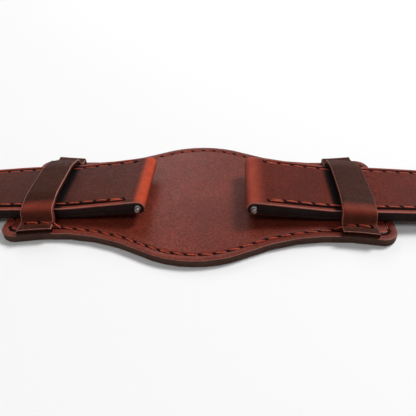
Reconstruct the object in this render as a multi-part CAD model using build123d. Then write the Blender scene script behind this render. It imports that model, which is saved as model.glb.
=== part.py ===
from build123d import *
import math
import os

os.makedirs("parts", exist_ok=True)

# Lengths are in millimetres. X runs along the strap, with the buckle half towards -X and
# the tail half towards +X, Y runs across it and Z is up. The origin is on the underside of
# the pad, at the centre of its disc. Both halves are drawn outwards from the disc, along +X,
# and the buckle half is mirrored.

# Pad: a disc under the watch case, drawn in at two waists and widened again at its ends
disc_diameter = 47.7
waist_width = 30.8
waist_radius = 41.5
pad_length = 91.4
pad_corner = 3.5
pad_leather = 1.0
pad_lining = 1.0
rim_bevel = 0.25

# Loops: a band of leather over each waist, its feet turned out and sewn to the pad
loop_leather = 1.1
loop_start = 33.15
loop_width = 7.85
loop_crown_inner = 4.65
loop_crown_outer = 3.9
loop_shoulder_inner = 3.6
loop_shoulder_outer = 2.9
loop_flat = 12.0
loop_side_room = 0.85
loop_foot = 2.35
crown_bend = 9.0
shoulder_bend = 1.2
ankle_bend = 1.2

# Strap halves, as laid in the loops
lug_width = 20.0
knee_width = 18.6
buckle_width = 16.0
knee_reach = 36.6
taper_reach = 75.0
tail_reach = 115.0
lay_shift = -0.8
bar_place = 13.4
bar_height = 5.9
strap_leather = 0.9
strap_lining = 0.8
strap_gap = 0.15
bend_place = 32.0
bend_rise = 0.32
strap_at_bend = 2.8
strap_at_pad_end = 2.6
strap_at_tail = 2.5
strap_at_tip = 2.2
tail_floor_place = 93.0
press_bend = 60.0
floor_bend = 150.0
turn_back = 8.0
fold_run = 5.5
core_inset = 1.7

# Tail end: the row of holes and the tip
hole_count = 5
hole_diameter = 2.0
hole_pitch = 7.0
last_hole_to_tip = 26.0
tip_length = 11.0
tip_nose = 5.0

# Sprung lug bars: a tube, a coil spring inside it and a flanged plunger at each end
bar_diameter = 1.5
bar_bore = 1.04
bar_clearance = 0.05
bar_lip = 0.4
bar_travel = 1.2
head_length = 0.8
neck_diameter = 0.7
lip_clearance = 0.04
flange_length = 0.5
flange_diameter = 1.46
tip_diameter = 1.1
tip_reach = 1.0
flange_setback = 0.05
spring_wire = 0.2
spring_turns = 4

# Buckle: a frame, the pin pressed into its ears, and a tongue on the pin
frame_side_gap = 0.25
frame_rail = 2.0
ear_radius = 1.8
bow_reach = 11.5
bow_radius = 1.3
bow_floor_gap = 0.05
frame_corner = 4.0
window_corner = 2.2
frame_bevel = 0.3
tongue_width = 2.0
tongue_ring = 1.35
tongue_tip = 0.85
tongue_heel = 2.3
tongue_overhang = 1.1
tongue_notch = 0.45
notch_gap = 0.2
rest_gap = 0.03
tongue_slot = 3.0
slot_length = 4.6

# Keepers: two leather rings on the buckle half, the outer one sewn on and the inner one loose
keeper_leather = 1.0
keeper_width = 6.0
keeper_side_gap = 0.15
keeper_head_room = 0.4
keeper_corner = 1.3
keeper_end_gap = 0.4
keeper_spacing = 10.0
keeper_travel_in = 3.0
keeper_lead = 1.0

# Reach of a cut past the faces that it goes through
overrun = 2.0

# Most of the shorter run beside a corner that the corner's bend may take up
bend_room_share = 0.45

# Worked out from the sizes above
pad_top = pad_leather + pad_lining
pad_end = pad_length / 2
disc_radius = disc_diameter / 2
waist_centre_y = waist_width / 2 + waist_radius
waist_centre_x = math.sqrt((disc_radius + waist_radius) ** 2 - waist_centre_y**2)
loop_end = loop_start + loop_width
bar_radius = bar_diameter / 2
bar_hole = bar_radius + bar_clearance
curl_radius = bar_hole + strap_leather
buckle_bar_place = bar_place + taper_reach
tip_place = bar_place + tail_reach
lug_gap = lug_width + 2 * flange_setback
frame_inside = buckle_width + 2 * frame_side_gap
bow_top = bow_floor_gap + 2 * bow_radius
keeper_level = keeper_leather + strap_gap
buckle_bar_height = keeper_level + strap_at_pad_end / 2
fixed_keeper_centre = buckle_bar_place - turn_back - keeper_end_gap - keeper_width / 2
loose_keeper_centre = fixed_keeper_centre - keeper_spacing
flat_start = loose_keeper_centre - keeper_width / 2 - keeper_travel_in - keeper_lead
lug_bar = (bar_place, bar_height)
buckle_bar = (buckle_bar_place, buckle_bar_height)

# Stations of each half: place along the strap, height of its underside, thickness
bend_station = (bend_place, pad_top + bend_rise, strap_at_bend)
pad_end_station = (pad_end, pad_top + strap_gap, strap_at_pad_end)
tail_stations = [
    bend_station,
    pad_end_station,
    (tail_floor_place, 0, strap_at_tail),
    (tip_place, 0, strap_at_tip),
]
buckle_stations = [
    bend_station,
    pad_end_station,
    (flat_start, keeper_level, strap_at_pad_end),
    (buckle_bar_place - fold_run, keeper_level, strap_at_pad_end),
]


def tangent_point(centre, radius, outside, side):
    """Where a line from an outside point touches a circle, above (1) or below (-1) its centre."""
    along, up = outside[0] - centre[0], outside[1] - centre[1]
    heading = math.atan2(up, along)
    turn = math.acos(radius / math.hypot(along, up))
    touches = [
        (centre[0] + radius * math.cos(heading + t), centre[1] + radius * math.sin(heading + t))
        for t in (-turn, turn)
    ]
    return max(touches, key=lambda point: side * point[1])


def rounded_line(points, bends):
    """Line through points, each corner bent as wanted or as far as its runs have room."""
    radii = []
    for before, corner, after, bend in zip(points, points[1:], points[2:], bends):
        run_in, run_out = Vector(*corner) - Vector(*before), Vector(*after) - Vector(*corner)
        room = bend_room_share * min(run_in.length, run_out.length)
        half_turn = math.radians(run_in.get_angle(run_out)) / 2
        radii.append(min(bend, room / math.tan(half_turn)))
    return FilletPolyline(*points, radius=radii)


def strap_line(stations, side, inset, bars):
    """Points of one long line of a half in side view, inset from its top (1) or underside (-1)."""
    if side > 0:
        points = [(place, low + thick - inset) for place, low, thick in stations]
    else:
        points = [(place, low + inset) for place, low, thick in stations]
    first = tangent_point(bars[0], curl_radius - inset, points[0], side)
    last = [tangent_point(bars[1], curl_radius - inset, points[-1], side)] if bars[1:] else []
    return [first] + points + last


def side_band(stations, top_inset, low_inset, bars, low_from_top=False):
    """Side face of the strap between two of its long lines."""
    upper = strap_line(stations, 1, top_inset, bars)
    lower = strap_line(stations, 1 if low_from_top else -1, low_inset, bars)
    bends = [press_bend] + [floor_bend] * (len(upper) - 3 - len(bars[1:]))
    bends += [press_bend] * len(bars[1:])
    over, under = rounded_line(upper, bends), rounded_line(lower, bends)
    return make_face([over, under, Line(over @ 0, under @ 0), Line(over @ 1, under @ 1)])


def across(face, half_width=lug_width):
    """The side face made solid across the strap, about the line in which the halves lie."""
    return Pos(0, lay_shift, 0) * extrude(Plane.XZ * face, amount=half_width, both=True)


def stretch(start, end):
    """Block over one stretch of a half, wider and taller than the strap."""
    height = bar_height + curl_radius + overrun
    size = (end - start, 2 * lug_width, 2 * height)
    return Pos((start + end) / 2, lay_shift, 0) * Box(*size)


def long_edge():
    """One long edge of a half seen from above, from its lug bar to its narrow part."""
    start = (bar_place, lug_width / 2)
    knee = (bar_place + knee_reach, knee_width / 2)
    return ThreePointArc(start, knee, (bar_place + taper_reach, buckle_width / 2))


def half_width_at(place):
    """Half the strap's width at a place along its tapered part."""
    edge = long_edge()
    centre = edge.arc_center
    return centre.Y + math.sqrt(edge.radius**2 - (place - centre.X) ** 2)


def half_plan(end_edges, end_place):
    """Plan of a half from above, closed at its far end by the edges given."""
    start = (bar_place - curl_radius - overrun, lug_width / 2)
    edge = long_edge()
    one = [Line(start, edge @ 0), edge, Line(edge @ 1, (end_place, buckle_width / 2))]
    other = [mirror(piece, about=Plane.XZ) for piece in one]
    back = Line((start[0], -start[1]), start)
    outline = make_face(one + other + [back] + end_edges)
    height = bar_height + curl_radius + overrun
    return Pos(0, lay_shift, 0) * extrude(outline, amount=height, both=True)


def tail_plan():
    """Plan of the tail half, ending in its rounded tip."""
    base = tip_place - tip_length
    over = JernArc((base, buckle_width / 2), (1, 0), *tip_arc())
    under = mirror(over, about=Plane.XZ)
    front = ThreePointArc(over @ 1, (tip_place, 0), under @ 1)
    return half_plan([over, under, front], base)


def tip_arc():
    """Radius and turn of the arc from the tail's straight edge to the side of its nose."""
    run, drop = tip_length - tip_nose / 4, (buckle_width - tip_nose) / 2
    radius = (run**2 + drop**2) / (2 * drop)
    return radius, -math.degrees(math.asin(run / radius))


def buckle_plan():
    """Plan of the buckle half, ending square past its fold."""
    end = buckle_bar_place + curl_radius + overrun
    return half_plan([Line((end, buckle_width / 2), (end, -buckle_width / 2))], end)


def bar_hollow(bar):
    """The round hole that a spring bar lies in, right across the strap."""
    return across(Pos(*bar) * Circle(bar_hole))


def strap_body(stations, bars):
    """Whole thickness of a half, with a round fold about each of its spring bars."""
    whole = across(side_band(stations, 0, 0, bars))
    for bar in bars:
        whole += across(Pos(*bar) * Circle(curl_radius))
        whole -= bar_hollow(bar)
    return whole


def strap_layers(stations, bars, plan, end_place):
    """Top leather, filler and lining of a half: the top leather folds about each spring bar."""
    core_end = end_place - core_inset if bars[1:] else end_place + overrun
    lining_end = end_place - turn_back if bars[1:] else end_place + overrun
    inner = across(side_band(stations, strap_leather, strap_lining, bars))
    filler = inner & stretch(bar_place + core_inset, core_end)
    under = across(side_band(stations, strap_leather, 0, bars)) - inner
    lining = under & stretch(bar_place + turn_back, lining_end)
    top = strap_body(stations, bars) - filler - lining
    return [layer & plan for layer in (top, filler, lining)]


def tail_holes():
    """The row of buckle holes, through every layer."""
    last = tip_place - last_hole_to_tip
    places = [(last - hole_pitch * n, lay_shift, 0) for n in range(hole_count)]
    height = bar_height + curl_radius + overrun
    return [Pos(*place) * Cylinder(hole_diameter / 2, 2 * height) for place in places]


def tongue_gap():
    """The slot in the buckle half's fold, where the tongue turns."""
    start = buckle_bar_place - slot_length
    end = buckle_bar_place + curl_radius + overrun
    size = (end - start, tongue_slot, 2 * (buckle_bar_height + curl_radius + overrun))
    return Pos((start + end) / 2, lay_shift, 0) * Box(*size)


def pad_outline():
    """The pad seen from above: disc, two waists, and square ends with rounded corners."""
    touch = disc_radius / (disc_radius + waist_radius)
    shoulder = (waist_centre_x * touch, waist_centre_y * touch)
    waist = (waist_centre_x, waist_width / 2)
    end_half = waist_centre_y - math.sqrt(waist_radius**2 - (pad_end - waist_centre_x) ** 2)
    corner = (pad_end, end_half)
    disc = ThreePointArc((-shoulder[0], shoulder[1]), (0, disc_radius), shoulder)
    waist_arc = ThreePointArc(shoulder, waist, corner)
    quarter = [disc, waist_arc, mirror(waist_arc, about=Plane.YZ)]
    ends = [Line(corner, (pad_end, -end_half)), Line((-pad_end, end_half), (-pad_end, -end_half))]
    face = make_face(quarter + [mirror(edge, about=Plane.XZ) for edge in quarter] + ends)
    corners = face.vertices().filter_by(lambda v: abs(v.X) > pad_end - rim_bevel)
    return fillet(corners, radius=pad_corner)


def pad_layer(low, thick, outer_face):
    """One of the pad's two leathers, its rim bevelled on its outer face: first or last in Z."""
    layer = Pos(0, 0, low) * extrude(pad_outline(), amount=thick)
    rim = layer.faces().sort_by(Axis.Z)[outer_face].outer_wire().edges()
    return chamfer(rim, length=rim_bevel)


def offset_line(points, distance):
    """Points of a line parallel to an open line of points, to its left."""
    shifted = []
    for first, second in zip(points, points[1:]):
        along, up = second[0] - first[0], second[1] - first[1]
        length = math.hypot(along, up)
        move = (-up / length * distance, along / length * distance)
        shifted.append([(p[0] + move[0], p[1] + move[1]) for p in (first, second)])
    corners = [shifted[0][0]]
    for before, after in zip(shifted, shifted[1:]):
        corners.append(crossing(before, after))
    return corners + [shifted[-1][1]]


def crossing(line, other):
    """Where two lines, each given by two points, cross."""
    (ax, ay), (bx, by) = line
    (cx, cy), (dx, dy) = other
    scale = (bx - ax) * (dy - cy) - (by - ay) * (dx - cx)
    share = ((cx - ax) * (dy - cy) - (cy - ay) * (dx - cx)) / scale
    return (ax + share * (bx - ax), ay + share * (by - ay))


def loop_section(place, crown, shoulder):
    """Section of a loop across the strap at one of its edges, feet included."""
    ankle = waist_width / 2 - loop_foot - loop_leather
    side = half_width_at(loop_start) + loop_side_room
    base, inner_flat = pad_top, loop_flat / 2
    inside = [
        (-ankle, base),
        (lay_shift - side, base + shoulder),
        (lay_shift - inner_flat, base + crown),
        (lay_shift + inner_flat, base + crown),
        (lay_shift + side, base + shoulder),
        (ankle, base),
    ]
    inside_bends = [shoulder_bend, crown_bend, crown_bend, shoulder_bend]
    outside = offset_line(inside, loop_leather)
    foot_end = waist_width / 2 + pad_corner
    foot_top = base + loop_leather
    outside[0] = level_point(outside[1], outside[0], foot_top)
    outside[-1] = level_point(outside[-2], outside[-1], foot_top)
    outside = [(-foot_end, foot_top)] + outside + [(foot_end, foot_top)]
    over = [shoulder_bend + loop_leather, crown_bend + loop_leather]
    outside_bends = [ankle_bend] + over + over[::-1] + [ankle_bend]
    inner, outer = rounded_line(inside, inside_bends), rounded_line(outside, outside_bends)
    feet = [
        Polyline(inner @ 0, (-foot_end, base), (-foot_end, foot_top)),
        Polyline(inner @ 1, (foot_end, base), (foot_end, foot_top)),
    ]
    section = make_face([inner, outer] + feet)
    return Plane(origin=(place, 0, 0), x_dir=(0, 1, 0), z_dir=(1, 0, 0)) * section


def level_point(first, second, height):
    """Point at a height on the line through two points."""
    share = (height - first[1]) / (second[1] - first[1])
    return (first[0] + share * (second[0] - first[0]), height)


def loop():
    """A loop: its crown falls outwards and its feet end flush with the pad's edge."""
    inner = loop_section(loop_start, loop_crown_inner, loop_shoulder_inner)
    outer = loop_section(loop_end, loop_crown_outer, loop_shoulder_outer)
    band = loft([inner.face(), outer.face()], ruled=True)
    height = pad_top + loop_crown_inner + loop_leather + overrun
    return band & extrude(pad_outline(), amount=height)


def keeper(centre, low):
    """A leather ring across the buckle half, tall enough for both ends of the strap."""
    inboard = centre - keeper_width / 2 - keeper_travel_in
    inner_width = 2 * (half_width_at(inboard) + keeper_side_gap)
    inner_height = strap_at_pad_end + strap_at_tail + keeper_head_room
    outer_size = (inner_width + 2 * keeper_leather, inner_height + 2 * keeper_leather)
    outer = RectangleRounded(*outer_size, keeper_corner)
    inner = RectangleRounded(inner_width, inner_height, keeper_corner - keeper_leather)
    middle = (centre - keeper_width / 2, lay_shift, low + outer_size[1] / 2)
    face = Plane(origin=middle, x_dir=(0, 1, 0), z_dir=(1, 0, 0)) * (outer - inner)
    return extrude(face, amount=keeper_width)


def round_piece(bar, start, sizes):
    """A turned piece along Y from a start: each size is a length and a diameter."""
    piece, place = None, start
    for length, diameter in sizes:
        middle = (bar[0], lay_shift + place + length / 2, bar[1])
        step = Pos(*middle) * Rot(90, 0, 0) * Cylinder(diameter / 2, abs(length))
        piece = step if piece is None else piece + step
        place += length
    return piece


def bar_tube(bar, gap):
    """Spring bar's tube, drawn in at both mouths to hold the plungers."""
    half = gap / 2 - flange_setback - flange_length - bar_travel - rest_gap
    mouth = neck_diameter + 2 * lip_clearance
    body = round_piece(bar, -half, [(2 * half, bar_diameter)])
    bore = round_piece(bar, -half + bar_lip, [(2 * (half - bar_lip), bar_bore)])
    return body - bore - round_piece(bar, -half - overrun, [(2 * (half + overrun), mouth)])


def bar_plunger(bar, gap, side):
    """Plunger at one end of a spring bar: head inside the tube, neck, flange and tip."""
    tube_half = gap / 2 - flange_setback - flange_length - bar_travel - rest_gap
    head_end = tube_half - bar_lip - rest_gap
    neck = gap / 2 - flange_setback - flange_length - head_end
    head_diameter = bar_bore - 2 * lip_clearance
    sizes = [
        (head_length, head_diameter),
        (neck, neck_diameter),
        (flange_length, flange_diameter),
        (tip_reach + flange_setback, tip_diameter),
    ]
    start = head_end - head_length
    return round_piece(bar, side * start, [(side * length, width) for length, width in sizes])


def bar_spring(bar, gap):
    """Coil spring between the two plunger heads, its wire of four-sided section."""
    tube_half = gap / 2 - flange_setback - flange_length - bar_travel - rest_gap
    half = tube_half - bar_lip - rest_gap - head_length - rest_gap - spring_wire / 2
    coil = (bar_bore - spring_wire) / 2 - lip_clearance
    path = Helix(pitch=2 * half / spring_turns, height=2 * half, radius=coil)
    across_wire = Plane(origin=path @ 0, x_dir=(1, 0, 0), z_dir=path % 0)
    wire = across_wire * RegularPolygon(spring_wire / 2, 4)
    spring = sweep(wire, path=path, is_frenet=True)
    return Pos(bar[0], lay_shift + half, bar[1]) * Rot(90, 0, 0) * spring


def frame_side():
    """Side view of the buckle frame: round ears, thin rails and a rounded bow."""
    bow = (buckle_bar_place + bow_reach, bow_radius + bow_floor_gap)
    ear_circle = Pos(*buckle_bar) * Circle(ear_radius)
    bow_circle = Pos(*bow) * Circle(bow_radius)
    return make_hull(ear_circle.edges() + bow_circle.edges())


def buckle_frame():
    """The buckle's frame, open at the strap end, with a notch in its bow for the tongue."""
    outside = frame_inside + 2 * frame_rail
    bow_front = buckle_bar_place + bow_reach + bow_radius
    front = bow_front + bow_radius / 2
    back = buckle_bar_place - ear_radius - frame_corner - overrun
    height = buckle_bar_height + ear_radius + overrun
    plan = Pos((back + front) / 2, 0) * RectangleRounded(front - back, outside, frame_corner)
    window_end = bow_front - 2 * bow_radius
    length = window_end - back + overrun
    window = Pos(window_end - length / 2, 0) * RectangleRounded(length, frame_inside, window_corner)
    shape = Pos(0, lay_shift, 0) * extrude(plan - window, amount=height, both=True)
    frame = across(frame_side(), outside / 2) & shape
    frame = chamfer(frame.edges(), length=frame_bevel)
    notch_size = (4 * bow_radius, tongue_width + 2 * notch_gap, 2 * tongue_notch)
    notch = Pos(buckle_bar_place + bow_reach, lay_shift, bow_top) * Box(*notch_size)
    return frame - notch - across(Pos(*buckle_bar) * Circle(bar_radius))


def buckle_pin():
    """The straight pin pressed through both ears, flush with them."""
    outside = frame_inside + 2 * frame_rail
    return across(Pos(*buckle_bar) * Circle(bar_radius), outside / 2)


def buckle_tongue():
    """The tongue: a ring round the buckle's pin and a tapered arm resting in the bow's notch."""
    seat = bow_top - tongue_notch + rest_gap
    end = buckle_bar_place + bow_reach + tongue_overhang
    heel = buckle_bar_place + bow_reach - tongue_heel
    upper = tangent_point(buckle_bar, tongue_ring, (end, seat + tongue_tip), 1)
    lower = tangent_point(buckle_bar, tongue_ring, (heel, seat), -1)
    arm = Polyline(upper, lower, (heel, seat), (end, seat), (end, seat + tongue_tip), upper)
    profile = make_face(arm) + Pos(*buckle_bar) * Circle(tongue_ring)
    profile -= Pos(*buckle_bar) * Circle(bar_hole)
    tongue = across(profile, tongue_width / 2)
    tip = tongue.edges().filter_by(lambda e: e.center().X > end - rest_gap)
    return fillet(tip, radius=tongue_tip / 3)


def placed(shape, half):
    """A piece drawn along +X, put in its half: the buckle half is mirrored to -X."""
    return mirror(shape, about=Plane.YZ) if half == "buckle" else shape


def write(name, shape):
    """One sub-part to its own file."""
    export_step(shape, f"parts/{name}.step")


def bar_parts(prefix, bar, gap, half):
    """Tube, spring and two plungers of one spring bar."""
    write(f"{prefix}_bar_tube", placed(bar_tube(bar, gap), half))
    write(f"{prefix}_bar_spring", placed(bar_spring(bar, gap), half))
    write(f"{prefix}_bar_near_plunger", placed(bar_plunger(bar, gap, -1), half))
    write(f"{prefix}_bar_far_plunger", placed(bar_plunger(bar, gap, 1), half))


write("pad_lining", pad_layer(0, pad_lining, 0))
write("pad_top_leather", pad_layer(pad_lining, pad_leather, -1))
for side, half in (("left", "buckle"), ("right", "tail")):
    write(f"{side}_loop", placed(loop(), half))

names = ("top_leather", "filler", "lining")
holes = tail_holes()
for name, layer in zip(names, strap_layers(tail_stations, [lug_bar], tail_plan(), tip_place)):
    write(f"tail_{name}", layer - holes)
buckle_bars = [lug_bar, buckle_bar]
buckle_layers = strap_layers(buckle_stations, buckle_bars, buckle_plan(), buckle_bar_place)
for name, layer in zip(names, buckle_layers):
    write(f"buckle_{name}", placed(layer - tongue_gap(), "buckle"))

bar_parts("left_lug", lug_bar, lug_gap, "buckle")
bar_parts("right_lug", lug_bar, lug_gap, "tail")

write("fixed_keeper", placed(keeper(fixed_keeper_centre, keeper_level - keeper_leather), "buckle"))
write("loose_keeper", placed(keeper(loose_keeper_centre, 0), "buckle"))
write("buckle_frame", placed(buckle_frame(), "buckle"))
write("buckle_pin", placed(buckle_pin(), "buckle"))
write("buckle_tongue", placed(buckle_tongue(), "buckle"))
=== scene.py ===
from collections import namedtuple
import math
import random

import bmesh
import bpy
from mathutils import Matrix, Vector


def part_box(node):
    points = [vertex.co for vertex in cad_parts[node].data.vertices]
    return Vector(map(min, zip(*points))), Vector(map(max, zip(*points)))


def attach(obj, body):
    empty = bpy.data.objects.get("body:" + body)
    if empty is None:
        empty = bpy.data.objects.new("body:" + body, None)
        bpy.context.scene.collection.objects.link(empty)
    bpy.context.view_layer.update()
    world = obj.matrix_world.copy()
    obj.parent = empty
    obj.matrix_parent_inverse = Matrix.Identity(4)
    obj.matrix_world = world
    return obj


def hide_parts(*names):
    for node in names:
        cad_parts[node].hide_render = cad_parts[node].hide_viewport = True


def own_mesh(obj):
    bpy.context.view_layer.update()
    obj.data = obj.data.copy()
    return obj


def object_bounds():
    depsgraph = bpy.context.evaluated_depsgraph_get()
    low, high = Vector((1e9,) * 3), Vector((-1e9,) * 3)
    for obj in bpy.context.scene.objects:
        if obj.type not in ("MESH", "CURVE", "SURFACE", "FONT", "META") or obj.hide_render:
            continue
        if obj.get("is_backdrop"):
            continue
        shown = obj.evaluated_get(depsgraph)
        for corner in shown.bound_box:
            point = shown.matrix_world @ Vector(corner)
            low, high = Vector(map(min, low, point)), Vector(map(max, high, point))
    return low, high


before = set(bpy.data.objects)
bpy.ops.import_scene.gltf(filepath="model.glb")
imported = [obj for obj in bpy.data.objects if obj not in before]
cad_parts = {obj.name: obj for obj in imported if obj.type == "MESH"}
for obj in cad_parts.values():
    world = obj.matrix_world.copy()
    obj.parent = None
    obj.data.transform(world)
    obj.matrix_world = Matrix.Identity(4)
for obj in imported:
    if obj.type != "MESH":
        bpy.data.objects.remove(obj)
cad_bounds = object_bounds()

# Sizes are in millimetres until a mesh is made: mm turns them into metres. X runs along the
# strap, Y across it and Z is up, as in the frame. Both halves are drawn along +X, and the
# buckle half is turned over to -X by its side, -1.
mm = 0.001


def box_of(node):
    """Lowest and highest corners of a node at rest, in millimetres."""
    return [Vector(corner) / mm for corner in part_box(node)]


def middle_of(box, axis):
    """Middle of a box along an axis."""
    return (box[0][axis] + box[1][axis]) / 2


# Meshes: nearer points become one, and sharper edges stay hard
merge_reach = 0.004
flat_reach = 0.001
crease_angle = math.radians(50)
arc_step = math.radians(9)

# Pad: its reach and thickness come from the frame, and a profile lists insets and heights
pad_end, disc_radius, pad_top = box_of("pad_top_leather")[1]
waist_half = 15.4
waist_radius = 41.5
pad_corner = 3.5
pad_seam = 1.0
outline_step = 0.7
top_rim = [(3.2, pad_seam), (0.05, pad_seam), (0.0, 1.05), (0.0, 1.74)]
top_line = [(0.04, 1.87), (0.15, 1.96), (0.32, 1.995), (0.7, pad_top)]
top_groove = [(1.5, 1.99), (1.56, 1.96), (1.9, 1.93), (2.24, 1.96), (2.3, 1.99), (2.9, pad_top)]
low_groove = [(2.9, 0.0), (2.3, 0.01), (1.9, 0.05), (1.5, 0.01), (0.5, 0.0)]
low_rim = [(0.2, 0.04), (0.05, 0.16), (0.0, 0.35), (0.0, 0.95), (0.05, pad_seam), (3.2, pad_seam)]
foot_paint_rows = (4, 5, 6)

# Loops: the first of two sizes is at the loop's inner side, the second at its outer side
loop_leather = 1.1
loop_start, loop_end = [corner.x for corner in box_of("right_loop")]
loop_width = loop_end - loop_start
loop_crowns = (4.65, 3.9)
loop_shoulders = (3.6, 2.9)
loop_flat = 12.0
loop_side = 10.53
loop_ankle = 11.95
crown_bend = 9.0
shoulder_bend = 1.2
ankle_bend = 1.2
loop_steps = 84
far_tuck = 0.15
far_drops = (0.2, 0.04)
foot_swell = 0.25
foot_swell_run = 0.9
foot_rim_depth = 0.9
foot_rim = [(0.0, 0.16), (0.05, 0.05), (0.16, 0.0)]
loop_rim = [(0.0, 0.45), (0.03, 0.27), (0.17, 0.06), (0.34, 0.0), (0.9, 0.0)]
loop_under_rim = (0.15, 0.12)
loop_puff = 0.03

# Strap halves
lug_bar, pin = box_of("right_lug_bar_tube"), box_of("buckle_pin")
lay_shift = middle_of(lug_bar, 1)
bar = (middle_of(lug_bar, 0), middle_of(lug_bar, 2))
buckle_bar = (-middle_of(pin, 0), middle_of(pin, 2))
lug_half = 10.0
knee_half = 9.3
buckle_half = 8.0
knee_reach = 36.6
taper_reach = 75.0
curl_radius = 1.7
top_leather = 0.9
lining_leather = 0.8
turn_back = 8.0
core_inset = 1.7
core_start = 0.95
press_bend = 60.0
floor_bend = 150.0
bend_room_share = 0.45
tip = box_of("tail_top_leather")[1].x
tip_length = 11.0
tip_base = tip - tip_length
nose_radius = 2.5
tip_steps = 14
row_step = 0.5
layer_step = 1.0
hole_places = [tip - 26.0 - 7.0 * number for number in range(5)]
hole_radius = 1.0
hole_sides = 32
slot_width = 3.0
slot_length = 4.6
slot_overrun = 6.0
slot_sides = 17
cutter_heights = (-3.0, 9.0)

# Side view of a half: place along it, underside and thickness
lug_stations = [(32.0, 2.32, 2.8), (pad_end, 2.15, 2.6)]
tail_stations = lug_stations + [(93.0, 0.0, 2.5), (tip, 0.0, 2.2)]
buckle_stations = lug_stations + [(60.0, 1.15, 2.6), (82.9, 1.15, 2.6)]

# Top leather across a half: insets and depths over its rim, the groove and the seam
stitch_inset = 2.05
groove_inset = 1.42
groove_depth = 0.17
seam_inset = 2.8
strap_rim = [(0.0, 0.28), (0.04, 0.12), (0.14, 0.03), (0.3, 0.0), (0.8, 0.0)]
strap_groove = [(groove_inset - 0.5, 0.0), (groove_inset - 0.2, groove_depth)]
strap_groove += [(groove_inset + 0.1, groove_depth), (groove_inset + 0.22, 0.0)]
strap_seam = [(stitch_inset - 0.2, 0.0), (stitch_inset, 0.06)]
strap_seam += [(stitch_inset + 0.25, 0.0), (seam_inset, 0.0)]
ring_middles = 10
middle_bow = 0.04
crown_lift = 0.18
stitch_start = 3.7
padding_rise = (stitch_start - 1.5, stitch_start + 1.0)
padding_fall = (buckle_bar[0] - 11.0, buckle_bar[0] - 7.5)
groove_start, groove_end = 3.3, 9.2

# Springs in the lug bars
spring_wire = 0.2
spring_turns = 4
spring_steps = 20
spring_sides = 6

# Keepers
keeper_leather = 1.0
keeper_corner = 1.3
keeper_steps = 8
keeper_rim = [(0.0, 0.45), (0.05, 0.2), (0.18, 0.05), (0.38, 0.0), (1.0, 0.0)]
keeper_under_rim = (0.12, 0.1)
keeper_puff = 0.02

# Stitches
stitch_pitch = 3.1
strap_pitch = 3.4
pad_stitch_inset = 1.9
foot_stitch_inset = 2.35
foot_stitch_rise = 0.3
under_strap_drop = 0.08
stitch_sink = 0.06
seam_end_gap = 9.5
pad_lean, strap_lean = 0.18, 0.14
thread_radius = 0.165
thread_sides = 8
thread_steps = 8
thread_inset = 0.22
thread_dip = 0.14
needle_sides = 10
needle_length, needle_breadth, needle_lean = 0.56, 0.28, 0.7
needle_rise = 0.075
needle_depth = 0.35
back_stitch_gap, back_stitch_depth, back_needle_rise = 2.0, 0.095, 0.115
pad_back_height = 0.03

# Marks on the leather, from 0 to 1: where it is pulled up at a bend, which on the curls and the loops'
# near sides is partly a painted highlight, and where a painted shadow lies beside each loop
painted_loop_shadow_band = (loop_start - 1.9, loop_start - 0.6, loop_start + 1.4, loop_start + 2.4)
# A loop's near shoulder and near foot are paler: partly pull-up, partly a painted highlight, as the far
# side gets none
loop_front_highlight_band, loop_front_highlight_pull = (8.7, 10.9, 11.5, 13.0), 0.8
loop_foot_highlight_band, loop_foot_highlight_pull = (12.4, 13.2, 13.6, 14.4), 0.4
border_pull = 0.4
buckle_fold, buckle_fold_pull = (buckle_bar[0] - 3.5, buckle_bar[0] + 1.0), 0.6
keeper_pull = 0.35

# Camera, as fitted to the photograph's outlines: its tilt, yaw and roll in degrees, millimetres
# and pixels
camera_turns = (38.1707, -3.6684, -1.8615)
camera_distance, camera_focal = 107.6675, 429.0611
camera_centre = (208.5385, 209.5576)
camera_target = (2.5478, -3.6024)
image_size = 416

# Stage: the floor fades between two distances in metres, and a lamp has its place, size and watts
background_tone = (0.93, 0.93, 0.93, 1.0)
floor_tone = (0.94, 0.94, 0.94, 1.0)
floor_fade = (0.35, 0.9)
floor_reach = 4000.0
floor_drop = 0.02
world_fill = 0.15
lamps = {
    "key": ((1094, 856, 1438), 620, 35.0),
    "back": ((-460, 1580, 1140), 800, 7.0),
    "front": ((-240, -840, 1780), 800, 7.2),
}


def linear(tones):
    """Linear colours of 8-bit screen colours."""
    def lit(value):
        share = value / 255
        return share / 12.92 if share <= 0.04045 else ((share + 0.055) / 1.055) ** 2.4
    return [(*map(lit, tone), 1.0) for tone in tones]


def darker(colour, share):
    """A share of a colour."""
    return tuple(share * value for value in colour[:3]) + (1.0,)


# Materials


def new_material(name):
    """A node material, its node tree and its shader."""
    material = bpy.data.materials.new(name)
    material.use_nodes = True
    tree = material.node_tree
    return material, tree, tree.nodes["Principled BSDF"]


def plug(tree, node, inputs):
    """Links sockets to a node's inputs, or sets values on them."""
    for name, value in inputs.items():
        if isinstance(value, bpy.types.NodeSocket):
            tree.links.new(value, node.inputs[name])
        else:
            node.inputs[name].default_value = value
    return node


def add_node(tree, kind, inputs, **settings):
    """A new shader node with its settings and inputs."""
    node = tree.nodes.new(f"ShaderNode{kind}")
    for key, value in settings.items():
        setattr(node, key, value)
    return plug(tree, node, inputs)


def object_place(tree):
    """The object's own coordinates."""
    return add_node(tree, "TexCoord", {}).outputs["Object"]


def noise(tree, scale, detail, roughness=0.55):
    """Noise in the object's own coordinates, its scale in features per metre."""
    inputs = {"Scale": scale, "Detail": detail, "Roughness": roughness, "Vector": object_place(tree)}
    return add_node(tree, "TexNoise", inputs).outputs["Fac"]


def remap(tree, value, low, high, to_low=0.0, to_high=1.0):
    """A value moved from one range to another and held inside it."""
    limits = {"From Min": low, "From Max": high, "To Min": to_low, "To Max": to_high}
    return add_node(tree, "MapRange", {"Value": value, **limits}).outputs["Result"]


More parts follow.
